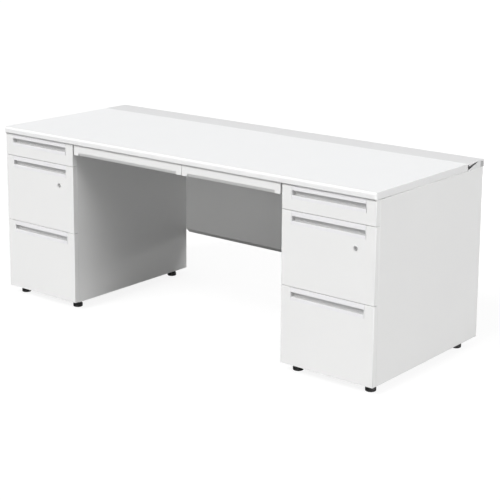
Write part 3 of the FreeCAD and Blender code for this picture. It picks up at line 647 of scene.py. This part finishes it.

# %% [markdown]
# Turned pieces need little: smooth sides and a hair of a round at their rims. The plug of a lock
# has a nickel a touch darker than that of the case around it.

# %% Turned pieces
TURNED_RADIUS = 0.3 * MM
for side in SIDES:
    pieces.append(rounded(f"{side}_lock_case", ["-y"], TURNED_RADIUS))
    plug = rounded(f"{side}_lock_plug", ["-y"], TURNED_RADIUS)
    plug.material_slots[0].material = PLUG_METAL
    pieces.append(plug)
    for across in ("outer", "inner"):
        for along in ("front", "rear"):
            pieces.append(rounded(f"{side}_{across}_{along}_leveller", ["+z"], TURNED_RADIUS))
pieces.append(rounded("duct_hinge_pins", ["-x", "+x"], TURNED_RADIUS))
print("pieces so far", len(pieces))

# %% [markdown]
# Small things that repeat are grown by Geometry Nodes. A Growth is a tree with named sizes. It runs
# on a seed, which is a mesh of bare points or paths, and its result becomes a plain mesh for one body.

# %% Growths


class Growth(Web):
    """A geometry tree with named sizes that ends in real faces of one finish."""

    def __init__(self, name, sizes):
        super().__init__(bpy.data.node_groups.new(name, "GeometryNodeTree"))
        ports = self.tree.interface
        ports.new_socket("Geometry", in_out="OUTPUT", socket_type="NodeSocketGeometry")
        ports.new_socket("Geometry", in_out="INPUT", socket_type="NodeSocketGeometry")
        for size in sizes:
            ports.new_socket(size, in_out="INPUT", socket_type="NodeSocketFloat")
        ports.new_socket("finish", in_out="INPUT", socket_type="NodeSocketMaterial")
        self.entry = self.tree.nodes.new("NodeGroupInput")
        self.exit = self.tree.nodes.new("NodeGroupOutput")

    def given(self, name):
        return Wire(self, self.entry.outputs[name])

    def close(self, geometry):
        real = self.node("GeometryNodeRealizeInstances", {}, {"Geometry": geometry})
        sockets = {"Geometry": real, "Material": self.given("finish")}
        self.feed(self.exit.inputs["Geometry"], self.node("GeometryNodeSetMaterial", {}, sockets))

    def grow(self, seed, body, slot, **sizes):
        """Runs the tree on a seed and puts the plain mesh on its body."""
        values = {**sizes, "finish": FINISHES[slot]}
        host = bpy.data.objects.new("seed", seed)
        bpy.context.scene.collection.objects.link(host)
        modifier = host.modifiers.new("growth", "NODES")
        modifier.node_group = self.tree
        for socket in self.tree.interface.items_tree:
            if socket.in_out == "INPUT" and socket.name in values:
                modifier[socket.identifier] = values[socket.name]
        evaluated = host.evaluated_get(bpy.context.evaluated_depsgraph_get())
        mesh = bpy.data.meshes.new_from_object(evaluated)
        bpy.data.objects.remove(host)
        return add_piece(seed.name, mesh, body, slot)


def seed_points(name, spots):
    """Bare points, each with the direction that its copy faces."""
    mesh = bpy.data.meshes.new(name)
    mesh.from_pydata([point for point, facing in spots], [], [])
    facings = mesh.attributes.new("facing", "FLOAT_VECTOR", "POINT")
    for item, (point, facing) in zip(facings.data, spots):
        item.vector = facing
    return mesh


def seed_paths(name, paths):
    """Bare edges along one or more closed lines of points."""
    points = []
    edges = []
    for path in paths:
        first = len(points)
        points += path
        edges += [(first + step, first + step + 1) for step in range(len(path) - 1)]
        edges.append((len(points) - 1, first))
    mesh = bpy.data.meshes.new(name)
    mesh.from_pydata(points, edges, [])
    return mesh


print("growths ready")

# %% [markdown]
# Screw heads and rubber buffers are both low studs. A cone with a wide flat top makes the stud, and
# for a screw two crossed bars cut its recess. The tree instances the stud on points and turns it to
# face each point's way, so one tree with the cross and one without serve the whole desk.

# %% Studs
STUD_SIDES = 14
TOP_SHARE = 0.72
CROSS_LENGTH_SHARE = 1.2
CROSS_WIDTH_SHARE = 0.3


def stud_growth(name, crossed):
    web = Growth(name, ["radius", "height"])
    radius = web.given("radius")
    height = web.given("height")
    sockets = {"Vertices": STUD_SIDES, "Radius Top": radius * TOP_SHARE, "Radius Bottom": radius}
    stud = web.node("GeometryNodeMeshCone", {}, {**sockets, "Depth": height})
    if crossed:
        long = radius * CROSS_LENGTH_SHARE
        wide = radius * CROSS_WIDTH_SHARE
        lift = web.node("ShaderNodeCombineXYZ", {}, {"Z": height})
        bars = []
        for x, y in ((long, wide), (wide, long)):
            bar_size = web.node("ShaderNodeCombineXYZ", {}, {"X": x, "Y": y, "Z": height})
            bar = web.node("GeometryNodeMeshCube", {}, {"Size": bar_size})
            bars.append(web.node("GeometryNodeTransform", {}, {"Geometry": bar, "Translation": lift}))
        sockets = {"Mesh 1": stud, "Mesh 2": bars, "Self Intersection": True}
        cut = {"operation": "DIFFERENCE", "solver": "EXACT"}
        stud = web.node("GeometryNodeMeshBoolean", cut, sockets)
    facing = web.node("GeometryNodeInputNamedAttribute", {"data_type": "FLOAT_VECTOR"}, {"Name": "facing"})
    turn = web.node("FunctionNodeAlignRotationToVector", {"axis": "Z"}, {"Vector": facing})
    sockets = {"Points": web.given("Geometry"), "Instance": stud, "Rotation": turn}
    web.close(web.node("GeometryNodeInstanceOnPoints", {}, sockets))
    return web


SCREWS = stud_growth("cross_screws", crossed=True)
BUFFERS = stud_growth("rubber_buffers", crossed=False)
print("studs", SCREWS.tree.name, BUFFERS.tree.name)

# %% [markdown]
# Zinc-plated pan-head screws hold the backs, the straps and the duct. Their places follow the boxes of
# the nodes that they hold: in rows, an inset away from the edges.

# %% Screws of the frame
SCREW_SIZES = {"radius": 4 * MM, "height": 2 * MM}
SCREW_INSET = 20 * MM
DUCT_SHEET = 1.2 * MM
DUCT_SHARES = (0.05, 0.22, 0.47, 0.53, 0.78, 0.95)


def back_screws():
    """Three screws down each side of each back panel."""
    spots = []
    for side in SIDES:
        low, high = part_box(f"{side}_back_panel")
        heights = (low[2] + SCREW_INSET, (low[2] + high[2]) / 2, high[2] - SCREW_INSET)
        for x in (low[0] + SCREW_INSET, high[0] - SCREW_INSET):
            spots += [((x, high[1], z), (0, 1, 0)) for z in heights]
    return spots


def strap_screws():
    """Three pairs in each strap: one of each pair in the modesty panel, one in the pedestal."""
    low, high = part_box("modesty_straps")
    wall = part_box("modesty_panel")[1][0]
    reach = (high[0] - wall) / 2
    heights = (low[2] + SCREW_INSET, (low[2] + high[2]) / 2, high[2] - SCREW_INSET)
    spots = []
    for joint in (-wall, wall):
        for x in (joint - reach, joint + reach):
            spots += [((x, high[1], z), (0, 1, 0)) for z in heights]
    return spots


def duct_screws():
    """A row along the duct's floor, clear of the cable slots."""
    low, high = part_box("wiring_duct")
    floor = low[2] + DUCT_SHEET
    middle = (low[1] + high[1]) / 2 + SCREW_INSET
    length = high[0] - low[0]
    return [((low[0] + length * share, middle, floor), (0, 0, 1)) for share in DUCT_SHARES]


screws = back_screws() + strap_screws() + duct_screws()
SCREWS.grow(seed_points("frame_screws", screws), "desk_frame", "zinc_steel", **SCREW_SIZES)
print("frame screws", len(screws))

# %% [markdown]
# Behind each cheek the duct's end is closed by a small grey cap beside the hinge. It is a plain plate
# with broken edges, so two cubes and a bevel are enough. It stays below the lid, which swings past it.

# %% End caps of the duct
CAP_LENGTH = 22 * MM
CAP_SETBACK = 2 * MM
CAP_FIT = 1.5 * MM
CAP_RADIUS = 0.3 * MM
CAP_SEGMENTS = 2


def duct_caps():
    low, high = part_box("wiring_duct")
    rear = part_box("right_end_panel")[1][1] - CAP_SETBACK
    size = Vector((DUCT_SHEET, CAP_LENGTH, high[2] - low[2] - CAP_FIT))
    shape = bmesh.new()
    for way in (-1, 1):
        middle = Vector((way * (high[0] - size.x / 2), rear - size.y / 2, low[2] + size.z / 2))
        bmesh.ops.create_cube(shape, size=1, matrix=Matrix.LocRotScale(middle, None, size))
    facts = {"offset": CAP_RADIUS, "segments": CAP_SEGMENTS, "affect": "EDGES"}
    bmesh.ops.bevel(shape, geom=shape.edges[:], **facts)
    return add_piece("duct_end_caps", mesh_of("duct_end_caps", shape), "desk_frame", "tray_steel")


caps = duct_caps()
caps.material_slots[0].material = CAP_STEEL
print("caps", caps.name)

# %% [markdown]
# Each tall tray is screwed to its front from inside, and four rubber buffers behind each front take
# the knock when the drawer shuts. The stud trees serve again, this time on the drawers' own bodies, so
# that the studs travel with them.

# %% Screws and buffers of the drawers
BUFFER_SIZES = {"radius": 5 * MM, "height": 0.8 * MM}
BUFFER_INSET = 10 * MM
TRAY_SHEET = 1 * MM
SCREW_SPREAD = 100 * MM


def tray_screws(low, high):
    """Two pairs on the inner face of a tray's front wall."""
    wall = low[1] + 2 * TRAY_SHEET
    middle = (low[0] + high[0]) / 2
    heights = (low[2] + 2 * SCREW_INSET, high[2] - SCREW_INSET)
    return [((middle + way * SCREW_SPREAD, wall, z), (0, 1, 0)) for way in (-1, 1) for z in heights]


def front_buffers(low, high, pull_low):
    """Four in the corners of the plate behind a front, under the pull."""
    plate = low[1] + TRAY_SHEET
    across = (low[0] + BUFFER_INSET, high[0] - BUFFER_INSET)
    heights = (low[2] + BUFFER_INSET, pull_low[2] - BUFFER_INSET)
    return [((x, plate, z), (0, 1, 0)) for x in across for z in heights]


for side in SIDES:
    for drawer in DRAWERS:
        name = f"{side}_{drawer}"
        body = f"{name}_drawer"
        low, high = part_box(f"{name}_tray")
        seed = seed_points(f"{name}_buffers", front_buffers(low, high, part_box(f"{name}_pull")[0]))
        BUFFERS.grow(seed, body, "black_plastic", **BUFFER_SIZES)
        if drawer != "top":
            seed = seed_points(f"{name}_tray_screws", tray_screws(low, high))
            SCREWS.grow(seed, body, "zinc_steel", **SCREW_SIZES)
print("drawers with studs", len(SIDES) * len(DRAWERS))

# %% [markdown]
# The trays' upper rims are rolled over so that no raw edge cuts a hand, and the duct's cable slots
# wear a black plastic edging. Both are one round bead along a closed path. A mesh path becomes a
# curve, its corners are filleted, and a circle is swept along it, so one tree serves both.

# %% Rolled rims and slot edgings
BEND_STEPS = 4
BEAD_SIDES = 8


def bead_growth(name):
    web = Growth(name, ["radius", "corner"])
    line = web.node("GeometryNodeMeshToCurve", {}, {"Mesh": web.given("Geometry")})
    sockets = {"Curve": line, "Count": BEND_STEPS, "Radius": web.given("corner")}
    line = web.node("GeometryNodeFilletCurve", {"mode": "POLY"}, sockets)
    sockets = {"Resolution": BEAD_SIDES, "Radius": web.given("radius")}
    ring = web.node("GeometryNodeCurvePrimitiveCircle", {}, sockets)
    bead = web.node("GeometryNodeCurveToMesh", {}, {"Curve": line, "Profile Curve": ring})
    web.close(web.node("GeometryNodeSetShadeSmooth", {}, {"Geometry": bead}))
    return web


def ring_path(low, high, z):
    """The corners of an upright rectangle's plan, at one height."""
    return [(low[0], low[1], z), (high[0], low[1], z), (high[0], high[1], z), (low[0], high[1], z)]


def tray_rim(node):
    """The line along the middle of a tray's walls, just under their upper edge."""
    points = [vertex.co for vertex in frame["nodes"][node].data.vertices]
    level = max(point.z for point in points)
    rim = [point for point in points if level - point.z < PLANE_FIT]
    half = TRAY_SHEET / 2
    low = [min(point[axis] for point in rim) + half for axis in range(2)]
    high = [max(point[axis] for point in rim) - half for axis in range(2)]
    return ring_path(low, high, level - half)


def slot_edge(box):
    """The edge of a cable slot, a little outside the opening that the record keeps free."""
    low, high = [Vector(corner) for corner in box]
    free = Vector((SLOT_MARGIN, SLOT_MARGIN, 0))
    return ring_path(low - free, high + free, (low.z + high.z) / 2)


BEADS = bead_growth("rolled_bead")
RIM_SIZES = {"radius": 1.2 * MM, "corner": 1.5 * MM}
EDGING_SIZES = {"radius": 1.6 * MM, "corner": 3 * MM}
SLOT_MARGIN = 2 * MM
for side in SIDES:
    for drawer in DRAWERS:
        name = f"{side}_{drawer}"
        seed = seed_paths(f"{name}_tray_rim", [tray_rim(f"{name}_tray")])
        BEADS.grow(seed, f"{name}_drawer", "tray_steel", **RIM_SIZES)
openings = frame["record"]["physics"]["openings"]
edges = [slot_edge(item["box_m"]) for item in openings if item["name"].endswith("cable_slot")]
seed = seed_paths("cable_slot_edgings", edges)
BEADS.grow(seed, "desk_frame", "black_plastic", **EDGING_SIZES)
print("slot edgings", len(edges))

# %% [markdown]
# Between its pad and the pedestal each leveller shows a short steel screw thread. A coil of touching
# turns covers the plain stem there. One spiral is swept with a small circle and set on each leveller's
# axis, and it turns with its leveller.

# %% Leveller threads
NECK_TOP = 20 * MM
THREAD_SIZES = {"radius": 4 * MM, "pitch": 1.25 * MM, "turns": 6.5, "ridge": 0.62 * MM}
TURN_STEPS = 18
RIDGE_SIDES = 6


def thread_growth():
    web = Growth("stem_thread", ["radius", "pitch", "turns", "ridge"])
    turns = web.given("turns")
    radius = web.given("radius")
    sockets = {"Resolution": TURN_STEPS, "Rotations": turns, "Height": turns * web.given("pitch")}
    coil = web.node("GeometryNodeCurveSpiral", {}, {**sockets, "Start Radius": radius, "End Radius": radius})
    sockets = {"Resolution": RIDGE_SIDES, "Radius": web.given("ridge")}
    ring = web.node("GeometryNodeCurvePrimitiveCircle", {}, sockets)
    sockets = {"Curve": coil, "Profile Curve": ring, "Fill Caps": True}
    rope = web.node("GeometryNodeCurveToMesh", {}, sockets)
    sockets = {"Points": web.given("Geometry"), "Instance": rope}
    web.close(web.node("GeometryNodeInstanceOnPoints", {}, sockets))
    return web


THREADS = thread_growth()
levellers = [name for name in BODY_OF if name.endswith("_leveller")]
for name in levellers:
    low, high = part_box(name)
    foot = ((low[0] + high[0]) / 2, (low[1] + high[1]) / 2, NECK_TOP + THREAD_SIZES["ridge"])
    seed = seed_points(f"{name}_thread", [(foot, (0, 0, 1))])
    THREADS.grow(seed, BODY_OF[name], "zinc_steel", **THREAD_SIZES)
print("threads", len(levellers))

# %% [markdown]
# The light is that of a white studio. One broad lamp hangs high in front, to the left, and lights
# the top and the fronts. A second stands at the right, square to the end panel: the pedestal keeps it
# out of the knee space, which stays in shade as in the photograph. A third, faint and level with the
# desk, looks into the knee space: it lights the panel there evenly, and only the hem, which leans
# away, turns dark. Sun lamps with wide discs light the floor evenly to its far edge, and their
# shadows are soft. Behind the desk a low, broad panel of light shows the back. It stays below the
# worktop, so it adds nothing to the top.

# %% Light
ROOM_GLOW = 0.28
BACK_PANEL = {"size": (1.7, 0.4), "place": (0, 3.0, 0.45), "power": 24}
LAMPS = {
    "front_lamp": {"from": (-0.16, -1.0, 1.0), "power": 2.62, "disc": math.radians(25)},
    "right_lamp": {"from": (1.0, 0.0, 0.4), "power": 1.85, "disc": math.radians(30)},
    "fill_lamp": {"from": (0.45, -0.89, 0.0), "power": 0.93, "disc": math.radians(40)},
}


def broad_lamp(name, facts):
    data = bpy.data.lights.new(name, "SUN")
    data.energy = facts["power"]
    data.angle = facts["disc"]
    lamp = bpy.data.objects.new(name, data)
    lamp.rotation_mode = "QUATERNION"
    lamp.rotation_quaternion = (-Vector(facts["from"])).to_track_quat("-Z", "Y")
    bpy.context.scene.collection.objects.link(lamp)
    return lamp


def back_panel(size, place, power):
    data = bpy.data.lights.new("back_panel", "AREA")
    data.shape = "RECTANGLE"
    data.size, data.size_y = size
    data.energy = power
    lamp = bpy.data.objects.new("back_panel", data)
    lamp.location = place
    lamp.rotation_mode = "QUATERNION"
    lamp.rotation_quaternion = Vector((0, -1, 0)).to_track_quat("-Z", "Z")
    lamp.visible_camera = False
    bpy.context.scene.collection.objects.link(lamp)


def room_light():
    world = bpy.data.worlds.new("white_room")
    world.use_nodes = True
    glow = world.node_tree.nodes["Background"]
    glow.inputs["Color"].default_value = (1, 1, 1, 1)
    glow.inputs["Strength"].default_value = ROOM_GLOW
    bpy.context.scene.world = world
    bpy.context.scene.view_settings.view_transform = "Standard"


room_light()
for name, facts in LAMPS.items():
    broad_lamp(name, facts)
back_panel(**BACK_PANEL)
print("lamps", len(bpy.data.lights))

# %% [markdown]
# The photograph's ground is pure white, yet the shade under the desk shows that little light came up
# from it. Two sheets do both jobs. The upper one is what the camera sees: it glows, so that the desk's
# shadow on it is faint. The lower one, which only scattered light finds, is a dark grey. A darker card
# between them keeps the floor's light off the hem and the rear of the knee space. A glowing wall, far
# off and also seen by the camera alone, carries the white on above the horizon.

# %% Floor and far wall
FLOOR_REACH = 60
FLOOR_STEP = 0.5 * MM
CARD_FRONT = 0.0
CARD_REAR = 0.75
WALL_HEIGHT = 50
WALL_SIDES = 64


def staged(name, shape, material):
    """Puts a part of the setting in the scene."""
    mesh = mesh_of(name, shape)
    mesh.materials.append(material)
    item = bpy.data.objects.new(name, mesh)
    bpy.context.scene.collection.objects.link(item)
    return item


def floor_sheet(name, height, material):
    shape = bmesh.new()
    bmesh.ops.create_grid(shape, x_segments=1, y_segments=1, size=FLOOR_REACH)
    bmesh.ops.translate(shape, verts=shape.verts, vec=(0, 0, height))
    return staged(name, shape, material)


def floor_finish(name, pale, deep, glow):
    finish = Finish(name)
    clouds = finish.noise(finish.place(), scale=0.6)
    finish.shade(
        Base_Color=finish.blend(clouds, (pale, pale, pale), (deep, deep, deep)),
        Roughness=0.9,
        Specular_IOR_Level=0.0,
        Emission_Color=(1, 1, 1, 1),
        Emission_Strength=glow,
    )
    return finish.material


def far_wall(material):
    shape = bmesh.new()
    facts = {"radius1": FLOOR_REACH, "radius2": FLOOR_REACH, "depth": 2 * WALL_HEIGHT}
    bmesh.ops.create_cone(shape, segments=WALL_SIDES, **facts)
    bmesh.ops.reverse_faces(shape, faces=shape.faces)
    return staged("far_wall", shape, material)


def floor_card(material):
    """Lies as wide as the modesty panel, between the two sheets of the floor."""
    low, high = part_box("modesty_panel")
    outline = ring_path((low[0], CARD_FRONT), (high[0], CARD_REAR), -FLOOR_STEP / 2)
    shape = bmesh.new()
    shape.faces.new([shape.verts.new(point) for point in outline])
    return staged("dark_card", shape, material)


def for_camera_only(item):
    item.visible_diffuse = False
    item.visible_glossy = False
    item.visible_shadow = False


PALE_FLOOR = floor_finish("pale_floor", pale=0.16, deep=0.15, glow=0.88)
WHITE_WALL = floor_finish("white_wall", pale=0.02, deep=0.01, glow=1.0)
GREY_FLOOR = floor_finish("grey_floor", pale=0.27, deep=0.26, glow=0.0)
DARK_CARD = floor_finish("dark_card", pale=0.03, deep=0.02, glow=0.0)
for_camera_only(floor_sheet("seen_floor", height=0, material=PALE_FLOOR))
for_camera_only(far_wall(WHITE_WALL))
floor_sheet("grey_floor", height=-FLOOR_STEP, material=GREY_FLOOR)
floor_card(DARK_CARD)
print("floor", FLOOR_REACH, "m each way")
